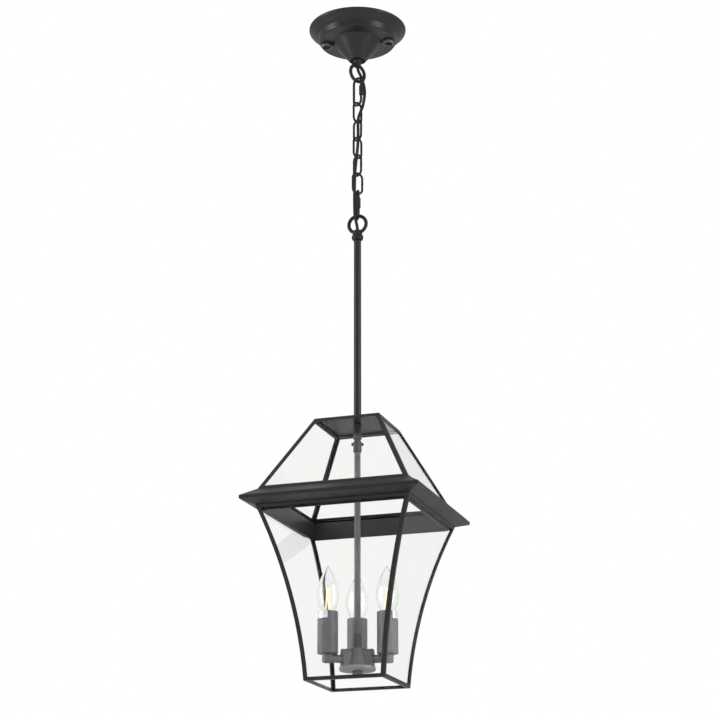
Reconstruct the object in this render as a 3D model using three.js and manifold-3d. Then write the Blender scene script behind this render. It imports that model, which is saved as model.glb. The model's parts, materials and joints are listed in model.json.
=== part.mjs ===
// A hanging lantern: ceiling canopy, chain, stem, glazed steel cage and a cluster of three candle lamps.
// Millimetres, +Z up. The origin is the middle of the ceiling bracket's top face, which meets the ceiling.
// +X and -Y are the directions that the cage's right and front panes face.

import * as THREE from 'three';
import { mergeVertices } from 'three/addons/utils/BufferGeometryUtils.js';
import Module from 'manifold-3d';

const wasm = await Module();
wasm.setup();

// ---- Driving dimensions ----

// Canopy and its fixings
const CANOPY_RADIUS = 83;
const CANOPY_DEPTH = 60;
const CANOPY_WALL = 1.5;
const SHELF_DEPTH = 25.5; // the flat ring that the two nuts sit on
const SHELF_RADIUS = 65;
const CONE_RADIUS = 41.5;
const TIP_RADIUS = 15;
const TIP_RECESS = 4.5;
const SHANK_RADIUS = 5; // of the canopy loop
const STUD_RADIUS = 2.5;
const STUD_SPREAD = (SHELF_RADIUS + CONE_RADIUS) / 2; // from the axis, on the middle of the shelf
const STUD_TURN = 11.5; // degrees about Z
const BRACKET = { length: 130, width: 26, thickness: 2 };

// Rings and chain
const RING_OUTER = 36;
const CANOPY_RING_WIRE = 5.8;
const STEM_RING_WIRE = 6;
const CANOPY_RING_DROP = 41; // the canopy ring's lowest point below the canopy's tip
const LINK = { length: 40.5, width: 21.5, wire: 3.8 };
const QUICK_LINK = { length: 54.5, width: 22, wire: 4.2 };
const QUICK_NUT = { length: 19, radius: 3.8 };
const LINK_TURNS = [62, -28, 62, -28, 46]; // each link's plane, degrees about Z
const CANOPY_RING_TURN = 58;
const TOP_QUICK_TURN = -28;
const BOTTOM_QUICK_TURN = -60;

// Stem and coupling
const STEM_LENGTH = 333.7;
const STEM_RADIUS = 6;
const STEM_BORE = 4;
const STEM_BELOW_ROOF = 16;
const COUPLING_RADIUS = 6.75;
const COUPLING_TURN = 18.7;
const INNER_ROD_RADIUS = 5;
const WIREWAY = 3.1; // radius of the bore that the cord runs through
const CORD_RADIUS = 2.5;

// Cage
const ROOF_HALF = 53.8;
const EAVES_HALF = 121.9;
const BAND_HALF = 144.3;
const NECK_HALF = 124.7;
const FLOOR_HALF = 65;
const UPPER_HEIGHT = 125;
const BAND_HEIGHT = 26;
const LOWER_HEIGHT = 265;
const FLARE_RADIUS = 905; // of the lower corners' outward curve
const FRAME_SHEET = 1.5;
const LEG = 7; // leg of the corner angles
const ROOF_LIP = 4;
const ROOF_RAIL = 1.6; // of the upper frame, under the roof's lip
const BAND_SHEET = 1.2;
const BAND_LIP = 5.2;
const BAND_SLOPE = 6.7; // the rise from the neck to the lip
const BAND_SKIRT = { depth: 33, half: 113.8 };
const GLASS = 2.5;

// Lamp cluster
const ARM_ANGLES = [1, 109, 217]; // degrees about Z
const ARM_HEIGHT = 38;
const ARM_RADIUS = 6.3;
const CUP_RADIUS = 8.5;
const SLEEVE = { radius: 16, wall: 1.2, bottom: 45, length: 65 };
const BULB = { radius: 17.5, cap: 7, capTop: 101, tip: 182.5, wall: 0.8 };
const HOLDER = { wall: 4, top: 98, floor: 75.5 };
const HUB = { top: 55, base: 27, bottom: 20.5, neck: 13, skirt: 18, rim: 28.5, wall: 2 };

// Clearances
const GAP = 0.3; // between pieces that touch
const FIT = 0.3; // radial, between a piece and its bore
const CAP_FIT = 0.5; // radial, between a lamp's cap and its lampholder
const LAMP_CLEARANCE = 0.7; // between a sleeve's foot and the glass beside it

// ---- Materials ----

function finish(color, roughness, metalness) {
  return new THREE.MeshStandardMaterial({ color, roughness, metalness });
}

const blackPaint = () => finish(0x343231, 0.5, 0.3);
const greyPaint = () => finish(0x4a4a4b, 0.5, 0.3);
const darkSteel = () => finish(0x232323, 0.4, 0.6);
const zincSteel = () => finish(0xa8a9aa, 0.4, 0.8);
const brass = () => finish(0xb9995a, 0.35, 0.9);
const nickel = () => finish(0xc4c4c0, 0.3, 0.9);
const whitePlastic = () => finish(0xe6e4dc, 0.5, 0);
const blackPlastic = () => finish(0x1b1b1b, 0.6, 0);
const paneGlass = () => {
  const material = finish(0xf2f6f4, 0.05, 0);
  material.transparent = true;
  material.opacity = 0.25;
  return material;
};

// ---- Shape helpers ----

const turn = (degrees) => THREE.MathUtils.degToRad(degrees);

// One closed body with shared corners, no empty faces, and its faces pointing out.
function closed(geometry) {
  const bare = geometry.clone();
  bare.deleteAttribute('normal');
  bare.deleteAttribute('uv');
  const merged = mergeVertices(bare, 1e-4);
  const p = merged.attributes.position.array;
  const kept = [];
  let volume = 0;
  const source = merged.index.array;
  for (let i = 0; i < source.length; i += 3) {
    const [a, b, c] = [source[i], source[i + 1], source[i + 2]];
    if (a === b || b === c || c === a) continue;
    kept.push(a, b, c);
    const [u, v, w] = [a, b, c].map((k) => new THREE.Vector3(p[3 * k], p[3 * k + 1], p[3 * k + 2]));
    volume += u.dot(v.cross(w));
  }
  if (volume < 0) kept.reverse();
  const out = new THREE.BufferGeometry();
  out.setAttribute('position', new THREE.BufferAttribute(new Float32Array(p), 3));
  out.setIndex(kept);
  return out;
}

function toSolid(geometry) {
  const clean = closed(geometry);
  const vertProperties = new Float32Array(clean.attributes.position.array);
  const triVerts = new Uint32Array(clean.index.array);
  return new wasm.Manifold(new wasm.Mesh({ numProp: 3, vertProperties, triVerts }));
}

function toGeometry(solid) {
  const made = solid.getMesh();
  const geometry = new THREE.BufferGeometry();
  geometry.setAttribute('position', new THREE.BufferAttribute(new Float32Array(made.vertProperties), 3));
  geometry.setIndex(new THREE.BufferAttribute(new Uint32Array(made.triVerts), 1));
  return geometry;
}

const joined = (...geometries) => toGeometry(geometries.map(toSolid).reduce((a, b) => a.add(b)));
const cut = (body, ...tools) => toGeometry(tools.map(toSolid).reduce((a, b) => a.subtract(b), toSolid(body)));
const common = (body, tool) => toGeometry(toSolid(body).intersect(toSolid(tool)));

// A profile of [radius, height] points turned about Z.
function turned(points, segments = 16) {
  const profile = points.map(([r, z]) => new THREE.Vector2(r, z));
  return new THREE.LatheGeometry(profile, segments).rotateX(Math.PI / 2);
}

// A profile of [half side, height] points swept round a square, with mitred corners.
function squared(points) {
  return turned(points.map(([half, z]) => [half * Math.SQRT2, z]), 4).rotateZ(Math.PI / 4);
}

function pipe(outer, bore, bottom, top, segments = 16) {
  return turned([[bore, bottom], [outer, bottom], [outer, top], [bore, top], [bore, bottom]], segments);
}

function rod(radius, bottom, top, segments = 16) {
  return turned([[0, bottom], [radius, bottom], [radius, top], [0, top]], segments);
}

function hexagon(acrossFlats, bottom, top) {
  return rod(acrossFlats / Math.sqrt(3), bottom, top, 6);
}

// A round bar along +X from one radius to another, at a height.
function spoke(radius, from, to, height, segments = 12) {
  return rod(radius, from, to, segments).rotateY(Math.PI / 2).translate(0, 0, height);
}

function block(sizeX, sizeY, sizeZ, x, y, z) {
  return new THREE.BoxGeometry(sizeX, sizeY, sizeZ).translate(x, y, z);
}

// A closed loop of wire in the XZ plane: a torus drawn out to its length.
function wireLoop({ length, width, wire }, sides = 8, steps = 20) {
  const geometry = new THREE.TorusGeometry((width - wire) / 2, wire / 2, sides, steps);
  const stretch = (length - width) / 2;
  const p = geometry.attributes.position;
  for (let i = 0; i < p.count; i += 1) {
    const y = p.getY(i);
    if (Math.abs(y) > 1e-3) p.setY(i, y + Math.sign(y) * stretch);
  }
  return geometry.rotateX(Math.PI / 2);
}

// A flat outline of [x, z] points made solid along Y, through everything.
function throughY(outline, reach = 400) {
  const shape = new THREE.Shape(outline.map(([x, z]) => new THREE.Vector2(x, z)));
  const geometry = new THREE.ExtrudeGeometry(shape, { depth: 2 * reach, bevelEnabled: false });
  return geometry.rotateX(Math.PI / 2).translate(0, reach, 0);
}

// A flat outline of [x, y] points made solid upwards.
function raised(outline, bottom, top) {
  const shape = new THREE.Shape(outline.map(([x, y]) => new THREE.Vector2(x, y)));
  const geometry = new THREE.ExtrudeGeometry(shape, { depth: top - bottom, bevelEnabled: false });
  return geometry.translate(0, 0, bottom);
}

function named(name, geometry, material) {
  const mesh = new THREE.Mesh(closed(geometry), material);
  mesh.name = name;
  return mesh;
}

function placed(object, { x = 0, y = 0, z = 0, yaw = 0 }) {
  object.position.set(x, y, z);
  object.rotation.z = turn(yaw);
  return object;
}

// ---- Heights down the lantern ----

const canopyTip = -CANOPY_DEPTH;
const tipFloor = canopyTip + TIP_RECESS;
const canopyRingBottom = canopyTip - CANOPY_RING_DROP;
const canopyRingCentre = canopyRingBottom + RING_OUTER / 2;

// Each loop hangs inside the one above, wire on wire.
const chain = [
  { name: 'top_quick_link', size: QUICK_LINK, yaw: TOP_QUICK_TURN },
  ...LINK_TURNS.map((yaw, i) => ({ name: `chain_link_${i + 1}`, size: LINK, yaw })),
  { name: 'bottom_quick_link', size: QUICK_LINK, yaw: BOTTOM_QUICK_TURN },
];
let hangsFrom = { bottom: canopyRingBottom, wire: CANOPY_RING_WIRE };
for (const loop of chain) {
  const top = hangsFrom.bottom + hangsFrom.wire + GAP + loop.size.wire;
  loop.centre = top - loop.size.length / 2;
  hangsFrom = { bottom: top - loop.size.length, wire: loop.size.wire };
}
const stemRingTop = hangsFrom.bottom + hangsFrom.wire + GAP + STEM_RING_WIRE;
const stemRingCentre = stemRingTop - RING_OUTER / 2;
const BEAD = { radius: 9.8, height: 10 };
const beadTop = stemRingTop - RING_OUTER - 0.5;
const stemTop = beadTop - BEAD.height - GAP;
const stemBottom = stemTop - STEM_LENGTH;
const cageHeight = LOWER_HEIGHT + BAND_HEIGHT + UPPER_HEIGHT;
const cageFloor = stemBottom + STEM_BELOW_ROOF - cageHeight;

// ---- Canopy ----

function canopy() {
  const rimInner = CANOPY_RADIUS - CANOPY_WALL;
  const shelf = -SHELF_DEPTH;
  const profile = [
    [CANOPY_RADIUS, 0], [CANOPY_RADIUS, -3], [CANOPY_RADIUS - 2.4, -5.2], [CANOPY_RADIUS - 5.4, -8],
    [CANOPY_RADIUS - 9.2, -11.9], [SHELF_RADIUS + 5.4, -14], [SHELF_RADIUS + 3.2, -15.3],
    [SHELF_RADIUS + 1.2, shelf + 2.4], [SHELF_RADIUS - 0.8, shelf], [CONE_RADIUS + 1.4, shelf],
    [CONE_RADIUS - 0.6, shelf - 2.2], [TIP_RADIUS + 0.4, canopyTip + 1.6], [TIP_RADIUS - 1, canopyTip],
    [TIP_RADIUS - 2.8, canopyTip], [TIP_RADIUS - 2.8, tipFloor],
    [SHANK_RADIUS + FIT, tipFloor], [SHANK_RADIUS + FIT, tipFloor + CANOPY_WALL],
    [TIP_RADIUS + 1.3, tipFloor + CANOPY_WALL], [CONE_RADIUS - 2.4, shelf - 0.5],
    [CONE_RADIUS, shelf + CANOPY_WALL], [SHELF_RADIUS - 1.6, shelf + CANOPY_WALL],
    [SHELF_RADIUS - 0.2, shelf + 4], [SHELF_RADIUS + 3, -12.6], [CANOPY_RADIUS - 8, -8],
    [rimInner, -2], [rimInner, 0], [CANOPY_RADIUS, 0],
  ];
  const holes = [-1, 1].map((side) => rod(STUD_RADIUS + 2 * FIT, shelf - 1, shelf + 4, 16)
    .translate(side * STUD_SPREAD, 0, 0));
  return cut(turned(profile, 32), ...holes);
}

function canopyLoop() {
  const ring = wireLoop({ length: RING_OUTER, width: RING_OUTER, wire: CANOPY_RING_WIRE }, 8, 24)
    .translate(0, 0, canopyRingCentre);
  const collar = turned([
    [0, tipFloor - GAP], [8.6, tipFloor - GAP], [8.6, tipFloor - 4.6], [7.6, tipFloor - 6.2],
    [6, tipFloor - 8], [6, canopyRingCentre + 11.4], [0, canopyRingCentre + 11.4],
  ]);
  const shank = rod(SHANK_RADIUS, tipFloor - 2, tipFloor + 15.5);
  const bore = rod(WIREWAY, canopyRingCentre + 9, tipFloor + 17);
  return cut(joined(ring, collar, shank), bore);
}

function ceilingBracket() {
  const { length, width, thickness } = BRACKET;
  const strap = block(length, width, thickness, 0, 0, -thickness / 2);
  const slots = [-1, 1].map((side) => block(18, 5, 4 * thickness, side * 33, 0, 0));
  const studs = [-1, 1].map((side) => rod(STUD_RADIUS, -SHELF_DEPTH - 4.2, -thickness / 2, 14)
    .translate(side * STUD_SPREAD, 0, 0));
  return joined(cut(strap, ...slots), ...studs);
}

function canopyNut() {
  const top = -SHELF_DEPTH - GAP;
  return turned([
    [STUD_RADIUS + FIT, top], [9.6, top], [9.9, top - 1.2], [9.6, top - 3.8], [8.6, top - 5],
    [7.4, top - 5], [6.6, top - 4], [6.2, top - 2.4], [STUD_RADIUS + FIT, top - 2.4],
    [STUD_RADIUS + FIT, top],
  ], 20);
}

function canopyGroup() {
  const group = new THREE.Group();
  const locknutTop = tipFloor + CANOPY_WALL + GAP + 5;
  const locknut = cut(hexagon(17, locknutTop - 5, locknutTop), rod(SHANK_RADIUS + FIT, -100, 0));
  const terminals = block(30, 18, 14, 0, 0, -BRACKET.thickness - GAP - 7);
  group.add(
    placed(named('ceiling_bracket', ceilingBracket(), zincSteel()), { yaw: STUD_TURN }),
    placed(named('canopy', canopy(), blackPaint()), { yaw: STUD_TURN }),
    placed(named('canopy_loop', canopyLoop(), darkSteel()), { yaw: CANOPY_RING_TURN }),
    named('loop_locknut', locknut, zincSteel()),
    placed(named('terminal_block', terminals, whitePlastic()), { yaw: STUD_TURN }),
  );
  for (const [side, sign] of [['right', 1], ['left', -1]]) {
    const x = sign * STUD_SPREAD * Math.cos(turn(STUD_TURN));
    const y = sign * STUD_SPREAD * Math.sin(turn(STUD_TURN));
    group.add(placed(named(`canopy_nut_${side}`, canopyNut(), darkSteel()), { x, y }));
  }
  return group;
}

// ---- Chain ----

// A quick link is open on one side, and a threaded nut closes the opening.
function quickLinkParts(name, centre, yaw) {
  const group = placed(new THREE.Group(), { z: centre, yaw });
  const side = (QUICK_LINK.width - QUICK_LINK.wire) / 2;
  const opening = block(QUICK_LINK.wire * 2, QUICK_LINK.wire * 2, 8, side, 0, 0);
  const bore = QUICK_LINK.wire / 2 + FIT + 0.1;
  const nut = pipe(QUICK_NUT.radius, bore, -QUICK_NUT.length / 2, QUICK_NUT.length / 2, 12);
  group.add(
    named(name, cut(wireLoop(QUICK_LINK), opening), darkSteel()),
    placed(named(`${name}_nut`, nut, darkSteel()), { x: side }),
  );
  return group;
}

function chainGroup() {
  const group = new THREE.Group();
  for (const { name, size, centre, yaw } of chain) {
    const part = size === QUICK_LINK
      ? quickLinkParts(name, centre, yaw)
      : placed(named(name, wireLoop(size), darkSteel()), { z: centre, yaw });
    group.add(part);
  }
  return group;
}

// ---- Supply cord ----

// The cord leaves the terminal block, passes down the loop's bore and follows the chain to the stem.
const CORD_ROUTE = [
  [0, 0, -16.8], [0, 0, -30], [0, 0, -45], [0, 0, -60], [0, 0, -71], [1, 0.2, -77], [3.6, 0.9, -84],
  [6.6, 1.6, -91], [8.6, 2.2, -98], [10.6, 3.3, -107], [11.6, 3.9, -118], [11.3, 3.3, -128],
  [10.3, 2.4, -137], [8.8, 1.1, -146.5], [6.5, -3, -157.3], [4.4, -6.8, -168.5], [3.8, -8.8, -180],
  [4.2, -9.3, -200], [3.6, -9.8, -225], [1.2, -10.5, -250], [-1, -10.4, -275], [-1.8, -9.9, -300],
  [-2.1, -9.6, -325], [-2, -9, -340], [-1.7, -8, -350], [-1.1, -5.6, -356.5], [-0.5, -2.8, -362.5],
  [-0.1, -0.7, -368.5], [0, 0, -374], [0, 0, -380],
];

function supplyCord() {
  const points = CORD_ROUTE.map((p) => new THREE.Vector3(...p));
  const route = new THREE.CatmullRomCurve3(points, false, 'centripetal');
  const section = new THREE.Shape();
  section.absarc(0, 0, CORD_RADIUS, 0, 2 * Math.PI);
  const settings = { steps: 64, extrudePath: route, curveSegments: 4, bevelEnabled: false };
  return new THREE.ExtrudeGeometry(section, settings);
}

// ---- Stem and coupling ----

function stemLoop() {
  const ring = wireLoop({ length: RING_OUTER, width: RING_OUTER, wire: STEM_RING_WIRE }, 8, 24)
    .translate(0, 0, stemRingCentre);
  const ringBottom = stemRingTop - RING_OUTER;
  const spigot = beadTop - BEAD.height - 12;
  const boss = turned([
    [0, ringBottom + 7.4], [5.6, ringBottom + 7.4], [7, ringBottom + 5.6], [8, ringBottom + 1.6],
    [7.4, beadTop], [BEAD.radius - 1, beadTop - 1.6], [BEAD.radius, beadTop - BEAD.height / 2],
    [BEAD.radius - 1, beadTop - BEAD.height + 1.6], [STEM_RADIUS + 1, beadTop - BEAD.height],
    [STEM_BORE - FIT, beadTop - BEAD.height], [STEM_BORE - FIT, spigot], [0, spigot],
  ]);
  return cut(joined(ring, boss), rod(WIREWAY, spigot - 1, ringBottom + 9));
}

// Piece heights below here are measured up from the cage's floor.
const roofTop = cageHeight;
const nippleTop = roofTop - STEM_BELOW_ROOF - GAP;
const COLLAR_HEIGHT = 9.7;
const COUPLING_TOP = nippleTop - COLLAR_HEIGHT - 2.5;
const COUPLING_HEIGHT = 18.5;
const innerRodTop = COUPLING_TOP - 10.5;
const innerRodBottom = HUB.base + 3;

function couplingCollar() {
  const nipple = COUPLING_RADIUS - 2.5;
  const nippleEnd = innerRodTop + GAP;
  return turned([
    [WIREWAY, nippleTop + 12], [STEM_BORE - FIT, nippleTop + 12], [STEM_BORE - FIT, nippleTop],
    [COUPLING_RADIUS, nippleTop], [COUPLING_RADIUS, nippleTop - COLLAR_HEIGHT + 1],
    [COUPLING_RADIUS - 1, nippleTop - COLLAR_HEIGHT], [nipple, nippleTop - COLLAR_HEIGHT],
    [nipple, nippleEnd], [WIREWAY, nippleEnd], [WIREWAY, nippleTop + 12],
  ]);
}

function coupling() {
  const bottom = COUPLING_TOP - COUPLING_HEIGHT;
  const upperBore = COUPLING_RADIUS - 2.5 + FIT;
  const body = turned([
    [upperBore, COUPLING_TOP], [COUPLING_RADIUS - 0.8, COUPLING_TOP], [COUPLING_RADIUS, COUPLING_TOP - 1],
    [COUPLING_RADIUS, bottom + 2], [COUPLING_RADIUS - 1, bottom], [INNER_ROD_RADIUS + FIT, bottom],
    [INNER_ROD_RADIUS + FIT, innerRodTop], [upperBore, innerRodTop + 1], [upperBore, COUPLING_TOP],
  ]);
  const holes = [0, Math.PI].map((side) => spoke(1.8, 3, 9, COUPLING_TOP - 5, 12).rotateZ(side));
  return cut(body, ...holes);
}

function thumbscrew() {
  const shank = spoke(1.5, COUPLING_RADIUS - 2.2, 8, COUPLING_TOP - 5, 12);
  const head = spoke(2.3, COUPLING_RADIUS + GAP, 9.8, COUPLING_TOP - 5, 12);
  return joined(shank, head);
}

// ---- Cage ----

// Half side of the lower cage at a height: an arc through the floor's edge and the neck's edge.
function flare(z) {
  const half = Math.hypot(NECK_HALF - FLOOR_HALF, LOWER_HEIGHT) / 2;
  const along = { x: (NECK_HALF - FLOOR_HALF) / 2 / half, z: LOWER_HEIGHT / 2 / half };
  const reach = Math.sqrt(FLARE_RADIUS ** 2 - half ** 2);
  const centre = { x: (FLOOR_HALF + NECK_HALF) / 2 + reach * along.z, z: LOWER_HEIGHT / 2 - reach * along.x };
  return centre.x - Math.sqrt(FLARE_RADIUS ** 2 - (z - centre.z) ** 2);
}

// The lamps stand as far out as the glass beside the foot of a sleeve lets them.
const glassFace = flare(SLEEVE.bottom) - FRAME_SHEET - GAP - GLASS;
const ARM_REACH = glassFace - SLEEVE.radius - LAMP_CLEARANCE;

const eaves = LOWER_HEIGHT + BAND_HEIGHT;
const hip = (z) => ROOF_HALF + (EAVES_HALF - ROOF_HALF) * (roofTop - z) / UPPER_HEIGHT;

// Wall thicknesses of the sloping roof, measured level.
const hipSlope = Math.hypot(1, (EAVES_HALF - ROOF_HALF) / UPPER_HEIGHT);
const hipSheet = FRAME_SHEET * hipSlope;
const hipGlass = GLASS * hipSlope;

// Evenly spaced values, both ends included.
function steps(from, to, count) {
  return Array.from({ length: count + 1 }, (_, i) => from + (to - from) * i / count);
}


// The wall between two offsets from an outline, as a profile to sweep round the square.
function wall(outline, heights, outer, inner) {
  const up = heights.map((z) => [outline(z) - outer, z]);
  const down = heights.toReversed().map((z) => [outline(z) - inner, z]);
  return [...up, ...down, up[0]];
}

// Window through both opposite walls, leaving the corner legs and the rails.
function windows(outline, heights, inset) {
  const right = heights.map((z) => [outline(z) - inset, z]);
  const left = heights.toReversed().map((z) => [inset - outline(z), z]);
  const opening = throughY([...right, ...left]);
  return [opening, opening.clone().rotateZ(Math.PI / 2)];
}

function upperFrame() {
  const top = roofTop - ROOF_LIP - GAP;
  const shell = squared(wall(hip, [eaves, top], 0, hipSheet));
  const spread = EAVES_HALF - ROOF_HALF;
  const inset = LEG * Math.hypot(1, spread / Math.hypot(UPPER_HEIGHT, spread));
  return cut(shell, ...windows(hip, [eaves + 4.6, top - ROOF_RAIL], inset));
}

function lowerFrame() {
  const shell = squared(wall(flare, steps(0, LOWER_HEIGHT, 12), 0, FRAME_SHEET));
  const flange = squared([
    [FLOOR_HALF - 6, 0], [FLOOR_HALF - 1, 0], [FLOOR_HALF - 1, FRAME_SHEET], [FLOOR_HALF - 6, FRAME_SHEET],
    [FLOOR_HALF - 6, 0],
  ]);
  return joined(cut(shell, ...windows(flare, steps(5.4, LOWER_HEIGHT - 4.5, 12), LEG)), flange);
}

function roofPlate() {
  const lip = roofTop - ROOF_LIP;
  const under = roofTop - FRAME_SHEET;
  const tray = squared([
    [0, under], [hip(under) - hipSheet, under], [hip(lip) - hipSheet, lip], [hip(lip), lip],
    [ROOF_HALF, roofTop], [0, roofTop],
  ]);
  return cut(tray, rod(STEM_RADIUS + FIT, under - 5, roofTop + 5));
}

// Folded sheet, open on the inside along a slot under its top flange.
function band() {
  const top = eaves - GAP;
  const foot = LOWER_HEIGHT + GAP;
  const lipBottom = foot + BAND_SLOPE;
  const lipTop = lipBottom + BAND_LIP;
  const { half, depth } = BAND_SKIRT;
  const s = BAND_SHEET;
  return squared([
    [half, top], [EAVES_HALF + 0.3, top], [BAND_HALF, lipTop], [BAND_HALF, lipBottom], [NECK_HALF, foot],
    [half + s, foot], [half + s, top - depth], [half, top - depth], [half, top - 3.8], [half + s, top - 3.8],
    [half + s, foot + s], [NECK_HALF - 0.2, foot + s], [BAND_HALF - s, lipBottom + 0.8],
    [BAND_HALF - s, lipTop - 0.8], [EAVES_HALF, top - s], [half, top - s], [half, top],
  ]);
}

// One pane of a glazed wall: the quarter of the wall that faces -Y, mitred with a gap to its neighbours.
function pane(outline, heights, outer, thickness) {
  const shell = squared(wall(outline, heights, outer, outer + thickness));
  const reach = 2 * BAND_HALF;
  const quarter = raised([[0, -GAP], [reach, -reach - GAP], [-reach, -reach - GAP]], -10, cageHeight);
  return common(shell, quarter);
}

const SIDES = [['front', 0], ['right', 90], ['back', 180], ['left', -90]];

function cageGroup() {
  const group = new THREE.Group();
  group.add(
    named('roof_plate', roofPlate(), blackPaint()),
    named('upper_frame', upperFrame(), blackPaint()),
    named('band', band(), blackPaint()),
    named('lower_frame', lowerFrame(), blackPaint()),
  );
  const upper = () => pane(hip, [eaves + GAP, roofTop - ROOF_LIP - 2 * GAP], hipSheet + GAP, hipGlass);
  const lower = () => pane(flare, steps(FRAME_SHEET + GAP, LOWER_HEIGHT - GAP, 12), FRAME_SHEET + GAP, GLASS);
  for (const [side, yaw] of SIDES) {
    group.add(
      placed(named(`upper_glass_${side}`, upper(), paneGlass()), { yaw }),
      placed(named(`lower_glass_${side}`, lower(), paneGlass()), { yaw }),
    );
  }
  return group;
}

// ---- Lamp cluster ----

function hubCover() {
  const bore = INNER_ROD_RADIUS + FIT;
  const w = HUB.wall;
  const cone = turned([
    [bore, HUB.top], [HUB.neck - 1, HUB.top], [HUB.neck, HUB.top - 1], [HUB.skirt, HUB.base + GAP],
    [HUB.skirt - w, HUB.base + GAP], [HUB.neck - w, HUB.top - w], [bore, HUB.top - w], [bore, HUB.top],
  ]);
  const foot = HUB.base + GAP;
  const socket = ARM_RADIUS + HUB.wall;
  const crown = HUB.top - 1 - socket;
  const reach = HUB.rim - 3;
  const sockets = ARM_ANGLES.map((angle) => joined(
    spoke(socket, HUB.neck - 2, reach, crown),
    block(reach - HUB.neck, 2 * socket, crown - foot, (reach + HUB.neck) / 2, 0, (crown + foot) / 2),
  ).rotateZ(turn(angle)));
  const bores = ARM_ANGLES.map((angle) => spoke(ARM_RADIUS + FIT, HUB.neck - 4, HUB.rim + 10, ARM_HEIGHT)
    .rotateZ(turn(angle)));
  const inside = turned([
    [0, HUB.base - 1], [HUB.skirt - w, HUB.base - 1], [HUB.neck - w, HUB.top - w], [0, HUB.top - w],
  ]);
  return cut(joined(cone, ...sockets), inside, ...bores);
}

function rodNut() {
  return pipe(INNER_ROD_RADIUS + 1.3, INNER_ROD_RADIUS + FIT, HUB.top + GAP, HUB.top + 22);
}

function hubBase() {
  return turned([
    [2.8, HUB.bottom], [HUB.rim - 1.5, HUB.bottom], [HUB.rim, HUB.bottom + 1.5], [HUB.rim, HUB.base - 1],
    [HUB.rim - 1, HUB.base], [2.8, HUB.base], [2.8, HUB.bottom],
  ], 20);
}

function hubFinial() {
  return turned([
    [0, HUB.bottom - 6.5], [6.4, HUB.bottom - 6.5], [8, HUB.bottom - 5], [8, HUB.bottom - GAP],
    [2.5, HUB.bottom - GAP], [2.5, HUB.base + 1.5], [0, HUB.base + 1.5],
  ], 20);
}

// An arm runs out along +X and turns up into the cup under its lamp.
function arm() {
  const cupTop = SLEEVE.bottom - GAP;
  const bar = spoke(ARM_RADIUS, HUB.neck + 2.4, ARM_REACH, ARM_HEIGHT);
  const cup = turned([
    [0, ARM_HEIGHT - ARM_RADIUS - 0.6], [CUP_RADIUS - 1.5, ARM_HEIGHT - ARM_RADIUS - 0.6],
    [CUP_RADIUS, ARM_HEIGHT - ARM_RADIUS + 1], [CUP_RADIUS, cupTop], [0, cupTop],
  ]).translate(ARM_REACH, 0, 0);
  const wireway = spoke(WIREWAY, 0, ARM_REACH, ARM_HEIGHT);
  const socket = rod(5 + FIT, ARM_HEIGHT - 2, cupTop + 1).translate(ARM_REACH, 0, 0);
  return cut(joined(bar, cup), wireway, socket);
}

function sleeve() {
  const { radius, wall: w, bottom, length } = SLEEVE;
  return turned([
    [5 + FIT, bottom], [radius, bottom], [radius, bottom + length], [radius - w, bottom + length],
    [radius - w, bottom + w], [5 + FIT, bottom + w], [5 + FIT, bottom],
  ]);
}

function lampholder() {
  const foot = SLEEVE.bottom + SLEEVE.wall + GAP;
  const { wall: w, top, floor } = HOLDER;
  const bore = BULB.cap + CAP_FIT;
  const radius = bore + w;
  return turned([
    [0, foot - 3.5], [5, foot - 3.5], [5, foot], [radius, foot], [radius, floor - 2], [radius - 1, floor],
    [radius - 1, top], [bore, top], [bore, floor], [0, floor],
  ]);
}

const CONTACT_HEIGHT = 2.4;

function bulbContact() {
  const bottom = HOLDER.floor + GAP;
  return turned([[0, bottom], [1.6, bottom], [2.6, bottom + 1], [2.6, bottom + CONTACT_HEIGHT],
    [0, bottom + CONTACT_HEIGHT]], 12);
}

function bulbCap() {
  const bottom = HOLDER.floor + CONTACT_HEIGHT + 2 * GAP;
  const { cap, capTop } = BULB;
  return turned([
    [0, bottom], [3.4, bottom], [4.4, bottom + 1.2], [cap - 0.4, bottom + 3.4], [cap, bottom + 5],
    [cap, capTop - 3], [cap + 0.6, capTop - 1], [cap + 0.6, capTop], [cap - 1.6, capTop],
    [cap - 1.6, capTop - 4], [0, capTop - 4],
  ]);
}

// The candle's outline, from its neck at the cap to the tip, as [radius, height] points.
function candle(inset) {
  const base = BULB.capTop + GAP;
  const widest = base + 34;
  const neck = BULB.cap - 0.2;
  const points = [[neck - inset, base]];
  for (const t of steps(0.2, 1, 4)) {
    const swell = Math.sin(t * Math.PI / 2);
    points.push([neck + (BULB.radius - neck) * swell ** 1.15 - inset, base + (widest - base) * t]);
  }
  for (const t of steps(0.16, 0.94, 5)) {
    const taper = Math.cos(t * Math.PI / 2) ** 0.9;
    points.push([Math.max(BULB.radius * taper - inset, 0.5), widest + (BULB.tip - inset - widest) * t]);
  }
  points.push([0, BULB.tip - inset]);
  return points;
}

// A thin shell, open at its neck.
function bulbGlass() {
  return turned([...candle(BULB.wall).reverse(), ...candle(0)], 14);
}

function lampGroup(number, angle) {
  const group = new THREE.Group();
  group.rotation.z = turn(angle);
  const lamp = placed(new THREE.Group(), { x: ARM_REACH });
  lamp.add(
    named(`sleeve_${number}`, sleeve(), greyPaint()),
    named(`lampholder_${number}`, lampholder(), whitePlastic()),
    named(`bulb_contact_${number}`, bulbContact(), brass()),
    named(`bulb_cap_${number}`, bulbCap(), nickel()),
    named(`bulb_glass_${number}`, bulbGlass(), paneGlass()),
  );
  group.add(named(`arm_${number}`, arm(), greyPaint()), lamp);
  return group;
}

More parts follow.
